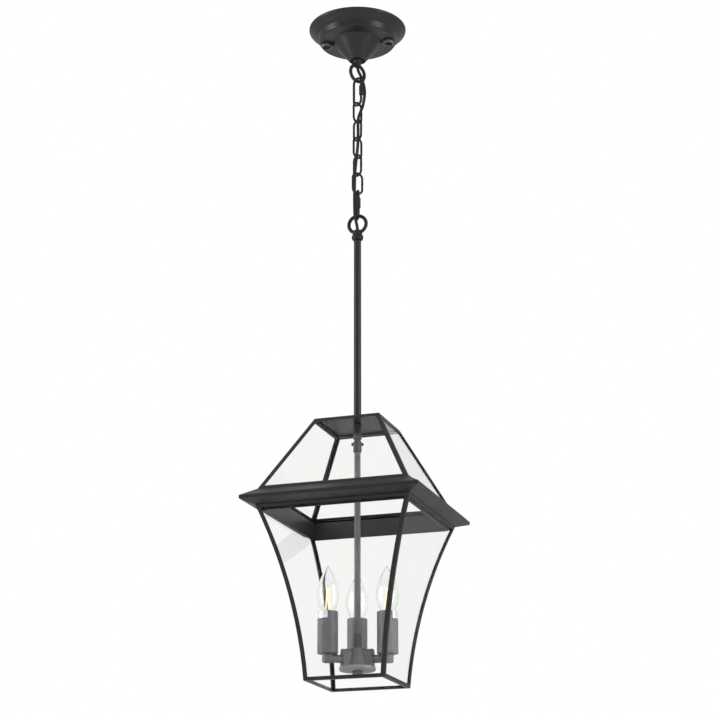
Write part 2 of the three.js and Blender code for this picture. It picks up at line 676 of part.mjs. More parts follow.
function clusterGroup() {
  const group = new THREE.Group();
  group.add(
    named('inner_rod', pipe(INNER_ROD_RADIUS, WIREWAY, innerRodBottom, innerRodTop), greyPaint()),
    named('rod_nut', rodNut(), greyPaint()),
    named('hub_cover', hubCover(), greyPaint()),
    named('hub_base', hubBase(), greyPaint()),
    named('hub_finial', hubFinial(), greyPaint()),
  );
  ARM_ANGLES.forEach((angle, i) => group.add(lampGroup(i + 1, angle)));
  return group;
}

function lanternGroup() {
  const group = placed(new THREE.Group(), { z: cageFloor });
  const rodParts = placed(new THREE.Group(), { yaw: COUPLING_TURN });
  rodParts.add(
    named('coupling_collar', couplingCollar(), greyPaint()),
    named('coupling', coupling(), greyPaint()),
    named('thumbscrew_right', thumbscrew(), darkSteel()),
    named('thumbscrew_left', thumbscrew().rotateZ(Math.PI), darkSteel()),
  );
  group.add(cageGroup(), rodParts, clusterGroup());
  return group;
}

function stemGroup() {
  const group = new THREE.Group();
  const cordEnd = CORD_ROUTE.at(-1)[2];
  const wireEnd = cageFloor + innerRodBottom + 2;
  group.add(
    named('stem_loop', stemLoop(), darkSteel()),
    named('stem', pipe(STEM_RADIUS, STEM_BORE, stemBottom, stemTop), blackPaint()),
    named('stem_wire', rod(CORD_RADIUS, wireEnd, cordEnd - GAP, 8), blackPlastic()),
  );
  return group;
}

const lantern = new THREE.Group();
lantern.add(
  canopyGroup(),
  chainGroup(),
  named('supply_cord', supplyCord(), blackPlastic()),
  stemGroup(),
  lanternGroup(),
);

export default lantern;
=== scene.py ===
# A hanging lantern: canopy, chain and laced cord, stem, glazed steel cage and three candle lamps.
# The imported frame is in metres, +Z up, with the ceiling at z = 0. Sizes below are in millimetres, and
# piece() turns them to metres.

import json
import math

import bmesh
import bpy
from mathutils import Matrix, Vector


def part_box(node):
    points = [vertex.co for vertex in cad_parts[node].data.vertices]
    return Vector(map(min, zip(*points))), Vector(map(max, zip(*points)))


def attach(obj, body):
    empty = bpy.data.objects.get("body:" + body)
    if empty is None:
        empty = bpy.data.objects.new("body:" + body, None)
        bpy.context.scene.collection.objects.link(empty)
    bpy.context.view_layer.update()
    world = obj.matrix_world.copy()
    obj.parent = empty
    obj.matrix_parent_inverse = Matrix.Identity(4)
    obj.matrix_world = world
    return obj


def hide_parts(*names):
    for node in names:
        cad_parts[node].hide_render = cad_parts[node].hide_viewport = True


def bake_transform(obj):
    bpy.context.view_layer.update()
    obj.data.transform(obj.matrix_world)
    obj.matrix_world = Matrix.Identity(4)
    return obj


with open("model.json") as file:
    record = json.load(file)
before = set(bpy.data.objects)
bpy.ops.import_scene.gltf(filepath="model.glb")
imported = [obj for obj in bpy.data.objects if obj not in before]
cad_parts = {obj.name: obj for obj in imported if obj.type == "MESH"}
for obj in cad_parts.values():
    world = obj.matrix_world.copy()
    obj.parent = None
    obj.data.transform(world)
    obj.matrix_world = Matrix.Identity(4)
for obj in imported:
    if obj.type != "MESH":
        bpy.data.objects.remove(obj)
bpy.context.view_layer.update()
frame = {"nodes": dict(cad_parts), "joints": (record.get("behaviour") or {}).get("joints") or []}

MM = 0.001

# ---- Sizes, in millimetres ----

GAP = 0.3  # between pieces that touch

RING_OUTER = 36
CANOPY_RING_WIRE = 5.8
STEM_RING_WIRE = 6
CANOPY_RING_TURN = 58  # degrees about Z
LINK = {"length": 40.5, "width": 21.5, "wire": 3.8}
QUICK_LINK = {"length": 54.5, "width": 22, "wire": 4.2}
QUICK_NUT = {"length": 19, "radius": 3.8}
LINK_TURNS = [62, -28, 62, -28, 46]
TOP_QUICK_TURN = -28
BOTTOM_QUICK_TURN = -60
CORD_RADIUS = 2.5

CANOPY_RADIUS = 83
SHELF_DEPTH = 25.5
SHELF_RADIUS = 65
CONE_RADIUS = 41.5
CANOPY_WALL = 1.5
TIP_RADIUS = 15
TIP_RECESS = 4.5

STEM_RADIUS = 6
STEM_BORE = 4

ROOF_HALF = 53.8
EAVES_HALF = 121.9
NECK_HALF = 124.7
FLOOR_HALF = 65
UPPER_HEIGHT = 125
BAND_HEIGHT = 26
LOWER_HEIGHT = 265
FLARE_RADIUS = 905
FRAME_SHEET = 1.5
ROOF_LIP = 4
GLASS = 2.5

COUPLING_RADIUS = 6.75
COUPLING_TURN = 18.7
ROD_RADIUS = 5
ROD_BORE = 3.1
ARM_ANGLES = [1, 109, 217]
ARM_HEIGHT = 38
ARM_RADIUS = 6.3
CUP_RADIUS = 8.5
SLEEVE = {"radius": 16, "wall": 1.2, "hole": 5.3, "bottom": 45, "length": 65}
HOLDER = {"radius": 11.5, "bore": 7.5, "top": 98, "floor": 75.5}
BULB = {"radius": 17.5, "cap": 7, "cap_top": 101, "tip": 182.5, "wall": 0.8}
HUB = {"top": 55, "base": 27, "bottom": 20.5, "neck": 13, "rim": 28.5}
CONTACT_HEIGHT = 2.4
FILAMENT_RADIUS = 0.55
LEAD_RADIUS = 0.2
FOIL = {"height": 11, "thick": 0.12}

CAGE_HEIGHT = LOWER_HEIGHT + BAND_HEIGHT + UPPER_HEIGHT
CAGE_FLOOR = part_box("lower_frame")[0].z / MM


# ---- Colour and nodes ----


def linear(hex_colour):
    """An sRGB hex colour as linear red, green, blue and alpha."""
    channels = [int(hex_colour[i : i + 2], 16) / 255 for i in (1, 3, 5)]
    return [c / 12.92 if c <= 0.04045 else ((c + 0.055) / 1.055) ** 2.4 for c in channels] + [1]


def add(tree, kind, settings=None, links=None):
    """A new node, with its settings and with its inputs linked to other nodes' outputs."""
    made = tree.nodes.new(kind)
    for key, value in (settings or {}).items():
        if key in made.inputs:
            made.inputs[key].default_value = value
        else:
            setattr(made, key, value)
    for key, (source, output) in (links or {}).items():
        tree.links.new(source.outputs[output], made.inputs[key])
    return made


def new_material(name):
    material = bpy.data.materials.new(name)
    material.use_nodes = True
    material.node_tree.nodes.clear()
    return material, material.node_tree


def finish_with(tree, shader, output="BSDF"):
    add(tree, "ShaderNodeOutputMaterial", links={"Surface": (shader, output)})


def per_metre(size_mm):
    """A noise scale whose features are about this many millimetres across."""
    return 1000 / size_mm


# ---- Materials ----


def powder_coat(name, deep, pale, roughness):
    """Polyester powder coat baked on steel: satin, with a fine orange peel and faint cloudy patches."""
    material, tree = new_material(name)
    place = add(tree, "ShaderNodeTexCoord")
    clouds = add(tree, "ShaderNodeTexNoise", {"Scale": per_metre(38), "Detail": 3.0},
                 {"Vector": (place, "Object")})
    # Orange peel is about 0.8 mm across; it is drawn at 1.6 mm so that it shows.
    peel = add(tree, "ShaderNodeTexNoise", {"Scale": per_metre(1.6), "Detail": 2.0},
               {"Vector": (place, "Object")})
    colour = add(tree, "ShaderNodeMix", {"data_type": "RGBA"})
    colour.inputs[6].default_value = linear(deep)
    colour.inputs[7].default_value = linear(pale)
    tree.links.new(clouds.outputs["Fac"], colour.inputs[0])
    sheen = add(tree, "ShaderNodeMapRange", {"To Min": roughness - 0.07, "To Max": roughness + 0.08},
                {"Value": (clouds, "Fac")})
    bump = add(tree, "ShaderNodeBump", {"Strength": 0.1, "Distance": 0.4 * MM}, {"Height": (peel, "Fac")})
    shader = add(tree, "ShaderNodeBsdfPrincipled", {"Metallic": 0.0, "IOR": 1.5})
    tree.links.new(colour.outputs[2], shader.inputs["Base Color"])
    tree.links.new(sheen.outputs["Result"], shader.inputs["Roughness"])
    tree.links.new(bump.outputs["Normal"], shader.inputs["Normal"])
    finish_with(tree, shader)
    return material


def blackened_wire(name, deep, rubbed):
    """Drawn steel, black plated and waxed: darker and shinier than the paint, and a little rubbed."""
    material, tree = new_material(name)
    place = add(tree, "ShaderNodeTexCoord")
    rub = add(tree, "ShaderNodeTexNoise", {"Scale": per_metre(6), "Detail": 4.0},
              {"Vector": (place, "Object")})
    shine = add(tree, "ShaderNodeMapRange", {"To Min": 0.34, "To Max": 0.55}, {"Value": (rub, "Fac")})
    wear_and_painted_light = add(tree, "ShaderNodeMapRange", {"From Min": 0.35, "From Max": 0.8}, {"Value": (rub, "Fac")})
    colour = add(tree, "ShaderNodeMix", {"data_type": "RGBA"})
    colour.inputs[6].default_value = linear(deep)
    colour.inputs[7].default_value = linear(rubbed)
    tree.links.new(wear_and_painted_light.outputs["Result"], colour.inputs[0])
    bump = add(tree, "ShaderNodeBump", {"Strength": 0.12, "Distance": 0.3 * MM}, {"Height": (rub, "Fac")})
    shader = add(tree, "ShaderNodeBsdfPrincipled", {"Metallic": 0.25, "IOR": 1.5})
    tree.links.new(colour.outputs[2], shader.inputs["Base Color"])
    tree.links.new(shine.outputs["Result"], shader.inputs["Roughness"])
    tree.links.new(bump.outputs["Normal"], shader.inputs["Normal"])
    finish_with(tree, shader)
    return material


def braided_cord_weave_shade():
    """Black braided sleeving over the cord: dull and soft, with painted shade in the hollows of the weave.
    Its threads are 0.7 mm apart, drawn at 1.2 mm.
    """
    material, tree = new_material("braided_cord_weave_shade")
    place = add(tree, "ShaderNodeTexCoord")
    threads = add(tree, "ShaderNodeTexVoronoi", {"Scale": per_metre(1.2)}, {"Vector": (place, "Object")})
    # Painted shade: the colour is darker where the weave's bump is low, in its hollows.
    colour = add(tree, "ShaderNodeMix", {"data_type": "RGBA"})
    colour.inputs[6].default_value = linear("#0e0e0e")
    colour.inputs[7].default_value = linear("#1e1e1e")
    tree.links.new(threads.outputs["Distance"], colour.inputs[0])
    bump = add(tree, "ShaderNodeBump", {"Strength": 0.35, "Distance": 0.4 * MM},
               {"Height": (threads, "Distance")})
    shader = add(tree, "ShaderNodeBsdfPrincipled", {"Roughness": 0.72, "IOR": 1.48})
    tree.links.new(colour.outputs[2], shader.inputs["Base Color"])
    tree.links.new(bump.outputs["Normal"], shader.inputs["Normal"])
    finish_with(tree, shader)
    return material


def clear_glass(name, tint, ior=1.45):
    """Clear soda-lime glass: bright edges and a faint reflection, and its shadow lets all light through."""
    material, tree = new_material(name)
    glass = add(tree, "ShaderNodeBsdfPrincipled",
                {"Roughness": 0.0, "IOR": ior, "Transmission Weight": 1.0})
    glass.inputs["Base Color"].default_value = linear(tint)
    clear = add(tree, "ShaderNodeBsdfTransparent")
    ray = add(tree, "ShaderNodeLightPath")
    both = add(tree, "ShaderNodeMixShader")
    tree.links.new(ray.outputs["Is Shadow Ray"], both.inputs[0])
    tree.links.new(glass.outputs["BSDF"], both.inputs[1])
    tree.links.new(clear.outputs["BSDF"], both.inputs[2])
    finish_with(tree, both, "Shader")
    return material


def plated(name, hex_colour, roughness):
    """Plated metal, with fine scuffs about 2 mm across."""
    material, tree = new_material(name)
    place = add(tree, "ShaderNodeTexCoord")
    scuffs = add(tree, "ShaderNodeTexNoise", {"Scale": per_metre(2), "Detail": 5.0},
                 {"Vector": (place, "Object")})
    shine = add(tree, "ShaderNodeMapRange", {"To Min": roughness - 0.1, "To Max": roughness + 0.12},
                {"Value": (scuffs, "Fac")})
    shader = add(tree, "ShaderNodeBsdfPrincipled", {"Metallic": 1.0})
    shader.inputs["Base Color"].default_value = linear(hex_colour)
    tree.links.new(shine.outputs["Result"], shader.inputs["Roughness"])
    finish_with(tree, shader)
    return material


def moulded(name, hex_colour, roughness):
    """Moulded thermoset, with a faint speckle about 1.5 mm across."""
    material, tree = new_material(name)
    place = add(tree, "ShaderNodeTexCoord")
    speckle = add(tree, "ShaderNodeTexNoise", {"Scale": per_metre(1.5)}, {"Vector": (place, "Object")})
    bump = add(tree, "ShaderNodeBump", {"Strength": 0.06, "Distance": 0.3 * MM},
               {"Height": (speckle, "Fac")})
    shader = add(tree, "ShaderNodeBsdfPrincipled", {"Roughness": roughness, "IOR": 1.5})
    shader.inputs["Base Color"].default_value = linear(hex_colour)
    tree.links.new(bump.outputs["Normal"], shader.inputs["Normal"])
    finish_with(tree, shader)
    return material


def lit_filament():
    """LED filament: a strip of chips under yellow phosphor, glowing warm."""
    material, tree = new_material("phosphor_filament")
    shader = add(tree, "ShaderNodeBsdfPrincipled", {"Roughness": 0.5, "Emission Strength": 0.85})
    shader.inputs["Base Color"].default_value = linear("#e8d6a2")
    shader.inputs["Emission Color"].default_value = linear("#efd29c")
    finish_with(tree, shader)
    return material


def crinkled_foil():
    """Silvered paper foil: bright, with soft creases about 5 mm apart, painted shade in their hollows and
    painted highlights on their crests.
    """
    material, tree = new_material("silvered_foil_crease_shade")
    place = add(tree, "ShaderNodeTexCoord")
    creases = add(tree, "ShaderNodeTexNoise", {"Scale": per_metre(5), "Detail": 3.0},
                  {"Vector": (place, "Object")})
    bump = add(tree, "ShaderNodeBump", {"Strength": 0.35, "Distance": 0.6 * MM},
               {"Height": (creases, "Fac")})
    # Painted shade and painted highlight: the colour follows the creases' height, darker in the hollows and
    # lighter on the crests.
    wear_and_painted_light = add(tree, "ShaderNodeMix", {"data_type": "RGBA"})
    wear_and_painted_light.inputs[6].default_value = linear("#b9c4cc")
    wear_and_painted_light.inputs[7].default_value = linear("#eef2f4")
    tree.links.new(creases.outputs["Fac"], wear_and_painted_light.inputs[0])
    shader = add(tree, "ShaderNodeBsdfPrincipled", {"Roughness": 0.3, "Metallic": 0.6})
    tree.links.new(wear_and_painted_light.outputs[2], shader.inputs["Base Color"])
    tree.links.new(bump.outputs["Normal"], shader.inputs["Normal"])
    finish_with(tree, shader)
    return material


def seen_directly(tree):
    """1 for what the eye sees, straight or through glass, and 0 for light that only bounces."""
    ray = add(tree, "ShaderNodeLightPath")
    either = add(tree, "ShaderNodeMath", {"operation": "MAXIMUM"})
    tree.links.new(ray.outputs["Is Camera Ray"], either.inputs[0])
    tree.links.new(ray.outputs["Is Transmission Ray"], either.inputs[1])
    return either


def studio_floor():
    """Matt white vinyl, lifted a little to the eye so that it fades into the white room."""
    material, tree = new_material("pale_studio_floor")
    lift = add(tree, "ShaderNodeMath", {"operation": "MULTIPLY"}, {0: (seen_directly(tree), "Value")})
    lift.inputs[1].default_value = 0.26
    shader = add(tree, "ShaderNodeBsdfPrincipled", {"Roughness": 0.8},
                 {"Emission Strength": (lift, "Value")})
    shader.inputs["Base Color"].default_value = linear("#f7f6f3")
    shader.inputs["Emission Color"].default_value = linear("#ffffff")
    finish_with(tree, shader)
    return material


BLACK_PAINT = powder_coat("satin_black_powder_coat", "#121110", "#1c1a19", 0.36)
CAGE_PAINT = powder_coat("cage_powder_coat", "#0d0c0c", "#161514", 0.42)
INNER_PAINT = powder_coat("inner_grey_powder_coat", "#525254", "#5e5e60", 0.5)
HUB_PAINT = powder_coat("hub_plate_powder_coat", "#6e6e70", "#7c7c7e", 0.45)
DARK_PAINT = powder_coat("coupling_powder_coat", "#3a3a3b", "#464647", 0.5)
WIRE = blackened_wire("blackened_steel_wire", "#131313", "#252423")
# The thumb nuts' light grey face colour is a painted highlight on black hardware.
NUT_PAINTED_HIGHLIGHT = blackened_wire("nut_face_painted_highlight", "#5b5957", "#82807d")
BRAID = braided_cord_weave_shade()
PANE_GLASS = clear_glass("clear_float_glass", "#fafaf9", ior=1.09)
BULB_GLASS = clear_glass("clear_blown_glass", "#fdfefe")
ZINC = plated("black_passivated_steel", "#2c2c2d", 0.42)
BRASS = plated("stamped_brass", "#b9995a", 0.35)
NICKEL = plated("nickel_plated_brass", "#c4c4c0", 0.3)
THERMOSET = moulded("white_thermoset", "#dcd9d0", 0.45)
FILAMENT = lit_filament()
FOIL_SKIN = crinkled_foil()


# ---- Meshes ----


def piece(name, points, faces, material, slot, sharp=32):
    """A mesh from points in millimetres, smooth but for its sharp edges."""
    mesh = bpy.data.meshes.new(name)
    mesh.from_pydata([tuple(c * MM for c in p) for p in points], [], faces)
    mesh.validate()
    mesh.materials.append(material)
    made = bpy.data.objects.new(name, mesh)
    bpy.context.scene.collection.objects.link(made)
    face_out(mesh)
    mesh.shade_smooth()
    mesh.set_sharp_from_angle(angle=math.radians(sharp))
    return made


def face_out(mesh):
    """Turns every face outwards."""
    work = bmesh.new()
    work.from_mesh(mesh)
    bmesh.ops.recalc_face_normals(work, faces=work.faces)
    work.to_mesh(mesh)
    work.free()


def merged(*shapes):
    """Several (points, faces) shapes as one."""
    points, faces = [], []
    for more_points, more_faces in shapes:
        start = len(points)
        points += more_points
        faces += [[i + start for i in face] for face in more_faces]
    return points, faces


def moved(shape, x=0, y=0, z=0, turn=0, tilt=0):
    """A shape tilted about Y, turned about Z and then shifted."""
    points, faces = shape
    c, s = math.cos(math.radians(turn)), math.sin(math.radians(turn))
    ct, st = math.cos(math.radians(tilt)), math.sin(math.radians(tilt))
    out = []
    for px, py, pz in points:
        px, pz = px * ct + pz * st, pz * ct - px * st
        out.append((px * c - py * s + x, px * s + py * c + y, pz + z))
    return out, faces


def eased(profile, radius, bends=4):
    """A profile with its corners rounded off, but for those on the axis."""
    closed = profile[0] == profile[-1]
    points = [Vector(p) for p in (profile[:-1] if closed else profile)]
    out = []
    for i, here in enumerate(points):
        if not closed and i in (0, len(points) - 1) or here.x < 1e-6:
            out.append(tuple(here))
            continue
        before, after = points[i - 1], points[(i + 1) % len(points)]
        back = min(radius, 0.45 * (before - here).length)
        ahead = min(radius, 0.45 * (after - here).length)
        start = here + (before - here).normalized() * back
        end = here + (after - here).normalized() * ahead
        for k in range(bends + 1):
            t = k / bends
            out.append(tuple(start * (1 - t) ** 2 + here * 2 * t * (1 - t) + end * t * t))
    if closed:
        out.append(out[0])
    return out


def circle(radius, height, sides):
    turns = [2 * math.pi * k / sides for k in range(sides)]
    return [(radius * math.cos(a), radius * math.sin(a), height) for a in turns]


def turned(profile, sides=64):
    """A profile of (radius, height) points turned about Z: a closed loop, or a line from axis to axis."""
    closed = profile[0] == profile[-1]
    rows = profile[:-1] if closed else profile
    points, rings = [], []
    for radius, height in rows:
        if radius < 1e-6:
            rings.append([len(points)] * sides)
            points.append((0, 0, height))
            continue
        rings.append(list(range(len(points), len(points) + sides)))
        points += circle(radius, height, sides)
    faces = []
    pairs = list(zip(rings, rings[1:])) + ([(rings[-1], rings[0])] if closed else [])
    for low, high in pairs:
        for k in range(sides):
            n = (k + 1) % sides
            face = [low[k], low[n], high[n], high[k]]
            face = [v for i, v in enumerate(face) if v not in face[:i]]
            if len(face) > 2:
                faces.append(face)
    return points, faces


def along(line, radius, sides=20, closed=False):
    """A round bar along a line of points, its ends capped unless the line is closed."""
    line = [Vector(p) for p in line]
    count = len(line)
    side = None
    points = []
    for i, here in enumerate(line):
        ahead = line[(i + 1) % count] if closed or i < count - 1 else here
        behind = line[i - 1] if closed or i > 0 else here
        forward = (ahead - behind).normalized()
        if side is None:
            guide = Vector((0, 1, 0)) if abs(forward.y) < 0.9 else Vector((1, 0, 0))
            side = guide - forward * guide.dot(forward)
        side = (side - forward * side.dot(forward)).normalized()
        other = forward.cross(side)
        for k in range(sides):
            a = 2 * math.pi * k / sides
            points.append(tuple(here + (side * math.cos(a) + other * math.sin(a)) * radius))
    faces = []
    for i in range(count if closed else count - 1):
        for k in range(sides):
            n = (k + 1) % sides
            j = (i + 1) % count
            faces.append([i * sides + k, i * sides + n, j * sides + n, j * sides + k])
    if not closed:
        faces += [list(range(sides)), list(range((count - 1) * sides, count * sides))]
    return points, faces


def four_sided(rows):
    """The faces of a bar with four sides, that has rows + 1 sections of four points."""
    faces = []
    for k in range(0, 4 * rows, 4):
        faces += [[k + c, k + (c + 1) % 4, k + 4 + (c + 1) % 4, k + 4 + c] for c in range(4)]
    return faces + [[0, 1, 2, 3], [4 * rows + c for c in range(4)]]


def loop_line(size, bends=28):
    """The middle line of a wire loop with straight sides and round ends, in the XZ plane."""
    half = (size["width"] - size["wire"]) / 2
    straight = (size["length"] - size["width"]) / 2
    line = []
    for end in (1, -1):
        for k in range(bends + 1):
            a = math.pi * k / bends
            line.append((end * half * math.cos(a), 0, end * (half * math.sin(a) + straight)))
    return [p for i, p in enumerate(line) if (Vector(p) - Vector(line[i - 1])).length > 1e-6]


def wire_loop(size):
    return along(loop_line(size), size["wire"] / 2, closed=True)


def ring(outer, wire):
    return wire_loop({"length": outer, "width": outer, "wire": wire})


def shape_piece(name, shape, material, slot, body, *nodes, sharp=32):
    """A piece that rides on a body and stands for CAD nodes."""
    made = piece(name, *shape, material, slot, sharp)
    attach(made, body)
    if nodes:
        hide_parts(*nodes)
    return made


# ---- Camera ----


def camera():
    """Looks up at the lantern from in front, a little to its right."""
    seen_from = (0.934, -2.756, -1.553)  # metres
    yaw = math.atan2(seen_from[0], -seen_from[1])
    data = bpy.data.cameras.new("camera")
    data.sensor_width = 36
    data.lens = 94.9
    rise = 18.23  # degrees above level
    made = bpy.data.objects.new("camera", data)
    made.location = seen_from
    made.rotation_euler = (math.radians(90 + rise), 0, yaw)
    bpy.context.scene.collection.objects.link(made)
    bpy.context.scene.camera = made


camera()


# ---- Supply cord ----

# Its route in metres: from the terminal block down the canopy loop's bore, past the chain, into the stem.
CORD_ROUTE = [
    (0, 0, -0.0168), (0, 0, -0.030), (0, 0, -0.045), (0, 0, -0.060), (0, 0, -0.071),
    (0.001, 0.0002, -0.077), (0.0036, 0.0009, -0.084), (0.0066, 0.0016, -0.091),
    (0.0086, 0.0022, -0.098), (0.0106, 0.0033, -0.107), (0.0116, 0.0039, -0.118),
    (0.0113, 0.0033, -0.128), (0.0103, 0.0024, -0.137), (0.0088, 0.0011, -0.1465),
    (0.0065, -0.003, -0.1573), (0.0044, -0.0068, -0.1685), (0.0038, -0.0088, -0.180),
    (0.0042, -0.0093, -0.200), (0.0036, -0.0098, -0.225), (0.0012, -0.0105, -0.250),
    (-0.001, -0.0104, -0.275), (-0.0018, -0.0099, -0.300), (-0.0021, -0.0096, -0.325),
    (-0.002, -0.009, -0.340), (-0.0017, -0.008, -0.350), (-0.0011, -0.0056, -0.3565),
    (-0.0005, -0.0028, -0.3625), (-0.0001, -0.0007, -0.3685), (0, 0, -0.374), (0, 0, -0.380),
]


def smooth_line(points, steps=8):
    """A centripetal curve through the points."""
    points = [Vector(p) for p in points]
    points = [points[0] * 2 - points[1], *points, points[-1] * 2 - points[-2]]
    line = []
    for a, b, c, d in zip(points, points[1:], points[2:], points[3:]):
        ta, tb, tc = ((q - p).length ** 0.5 for p, q in ((a, b), (b, c), (c, d)))
        leave = ((b - a) / ta - (c - a) / (ta + tb) + (c - b) / tb) * tb
        arrive = ((c - b) / tb - (d - b) / (tb + tc) + (d - c) / tc) * tb
        for k in range(steps):
            t = k / steps
            line.append(b * (2 * t**3 - 3 * t**2 + 1) + leave * (t**3 - 2 * t**2 + t)
                        + c * (3 * t**2 - 2 * t**3) + arrive * (t**3 - t**2))
    return line + [points[-2]]


def supply_cord():
    """One stretch for each joint of the chain, the stretches meeting halfway between the joints."""
    run = ["canopy", "top_link", *(f"link_{i}" for i in range(1, 6)), "bottom_link", "lantern"]
    line = smooth_line(CORD_ROUTE)
    pivots = {j["child"]: j["pos_m"][2] for j in frame["joints"] if j["type"] == "hinge"}
    heights = [pivots[body] for body in run[1:]]
    splits = [line[0].z] + [(a + b) / 2 for a, b in zip(heights, heights[1:])] + [line[-1].z]
    for number, (above, below, top, foot) in enumerate(zip(run, run[1:], splits, splits[1:]), 1):
        stretch = [p for p in line if foot < p.z < top]
        stretch = [crossing(line, top), *stretch, crossing(line, foot)]
        made = piece(f"supply_cord_{number}", *along([p / MM for p in stretch], CORD_RADIUS, 16),
                     BRAID, "cord_jacket", 60)
        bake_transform(made)
        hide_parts("supply_cord")


def crossing(line, height):
    """The point where the line passes a height."""
    for a, b in zip(line, line[1:]):
        if a.z >= height >= b.z:
            return a.lerp(b, (a.z - height) / (a.z - b.z))
    return line[-1]


supply_cord()


# ---- Canopy ----


def canopy():
    rim, ledge, cone, tip = CANOPY_RADIUS, SHELF_RADIUS, CONE_RADIUS, TIP_RADIUS
    shelf, bottom = -SHELF_DEPTH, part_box("canopy")[0].z / MM
    recess = bottom + TIP_RECESS
    wall, hole = CANOPY_WALL, 5.3
    outside = [
        (rim, 0), (rim, -3.2), (rim - 2.4, -5.2), (rim - 5.4, -8), (rim - 9.2, -11.9), (ledge + 5.4, -14),
        (ledge + 3.2, -15.3), (ledge + 1.2, shelf + 2.4), (ledge - 0.8, shelf), (cone + 1.4, shelf),
        (cone - 0.6, shelf - 2.2), (tip + 0.4, bottom + 1.6), (tip - 1, bottom), (tip - 2.8, bottom),
        (tip - 2.8, recess),
    ]
    inside = [
        (hole, recess), (hole, recess + wall), (tip + 1.3, recess + wall), (cone - 2.4, shelf - 0.5),
        (cone, shelf + wall), (ledge - 1.6, shelf + wall), (ledge - 0.2, shelf + 4), (ledge + 3, -12.6),
        (rim - 8, -8), (rim - wall, -2), (rim - wall, 0),
    ]
    shell = turned(eased([*outside, *inside, outside[0]], 1.6), 128)
    shape_piece("canopy_shell", shell, BLACK_PAINT, "black_paint", "canopy", "canopy")


def canopy_nuts():
    """Round thumb nuts: the face is painted light grey as a painted highlight, and the recess round the stud
    keeps its black finish.
    """
    bore, rim, recess = 2.8, 9.9, 6.9
    for side in ("right", "left"):
        low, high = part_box(f"canopy_nut_{side}")
        x, y = (low.x + high.x) / 2 / MM, (low.y + high.y) / 2 / MM
        top = high.z / MM
        profile = [
            (bore, top), (rim - 0.3, top), (rim, top - 1.4), (rim - 0.3, top - 4), (rim - 1.3, top - 5),
            (recess + 0.5, top - 5), (recess - 0.3, top - 4), (recess - 0.7, top - 2.4),
            (bore, top - 2.4), (bore, top),
        ]
        nut = shape_piece(f"canopy_thumb_nut_{side}", moved(turned(eased(profile, 0.7), 48), x, y),
                          NUT_PAINTED_HIGHLIGHT, "black_hardware", "canopy", f"canopy_nut_{side}")
        # The recess round the stud keeps the black; the rest of the nut is light grey as a painted highlight.
        nut.data.materials.append(WIRE)
        for face in nut.data.polygons:
            if math.hypot(face.center.x / MM - x, face.center.y / MM - y) < recess:
                face.material_index = 1


def canopy_loop():
    low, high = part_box("canopy_loop")
    centre = low.z / MM + RING_OUTER / 2
    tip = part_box("canopy")[0].z / MM + TIP_RECESS
    collar = [
        (0, tip - GAP), (8.6, tip - GAP), (8.6, tip - 4.6), (7.6, tip - 6.2), (6, tip - 8),
        (6, centre + 12.4), (3.1, centre + 11.4), (3.1, centre + 14), (0, centre + 14),
    ]
    shank = [(0, tip - 2), (5, tip - 2), (5, high.z / MM - 0.6), (4.4, high.z / MM), (0, high.z / MM)]
    shape = merged(moved(ring(RING_OUTER, CANOPY_RING_WIRE), z=centre, turn=CANOPY_RING_TURN),
                   turned(eased(collar, 0.6), 40), turned(shank, 40))
    shape_piece("canopy_ring", shape, WIRE, "black_hardware", "canopy", "canopy_loop")


# ---- Chain ----


def centre_of(node):
    low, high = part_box(node)
    return (low.z + high.z) / 2 / MM


def quick_link(name, body, turn):
    """A link with an open side that a threaded sleeve nut closes."""
    centre = centre_of(name)
    side = (QUICK_LINK["width"] - QUICK_LINK["wire"]) / 2
    shape = moved(wire_loop(QUICK_LINK), z=centre, turn=turn)
    shape_piece(f"{name}_wire", shape, WIRE, "black_hardware", body, name)
    half = QUICK_NUT["length"] / 2
    r = QUICK_NUT["radius"]
    bore = QUICK_LINK["wire"] / 2 + 0.05
    profile = [(bore, -half), (r - 0.8, -half), (r, -half + 1.6), (r, half - 1.6), (r - 0.8, half),
               (bore, half), (bore, -half)]
    nut = moved(moved(turned(profile, 6), x=side), z=centre, turn=turn)
    made = shape_piece(f"{name}_sleeve_nut", nut, WIRE, "black_hardware", body, f"{name}_nut", sharp=20)
    bevel = made.modifiers.new("edges", "BEVEL")
    bevel.width = 0.5 * MM
    bevel.segments = 3
    bevel.limit_method = "ANGLE"


def chain():
    quick_link("top_quick_link", "top_link", TOP_QUICK_TURN)
    quick_link("bottom_quick_link", "bottom_link", BOTTOM_QUICK_TURN)
    half = 1.4
    side = (LINK["width"] - LINK["wire"]) / 2
    neck = 0.9 * LINK["wire"] / 2
    bulge = LINK["wire"] / 2 + 0.22
    # The butt weld that closes a link bulges a little.
    weld = [(0, -half), (neck, -half), (bulge, -half / 2), (bulge, half / 2), (neck, half), (0, half)]
    for i, turn in enumerate(LINK_TURNS, 1):
        name = f"chain_link_{i}"
        shape = merged(wire_loop(LINK), moved(turned(eased(weld, 0.4), 20), x=side))
        shape_piece(f"{name}_wire", moved(shape, z=centre_of(name), turn=turn), WIRE, "black_hardware",
                    f"link_{i}", name)


# ---- Stem, coupling and rod ----


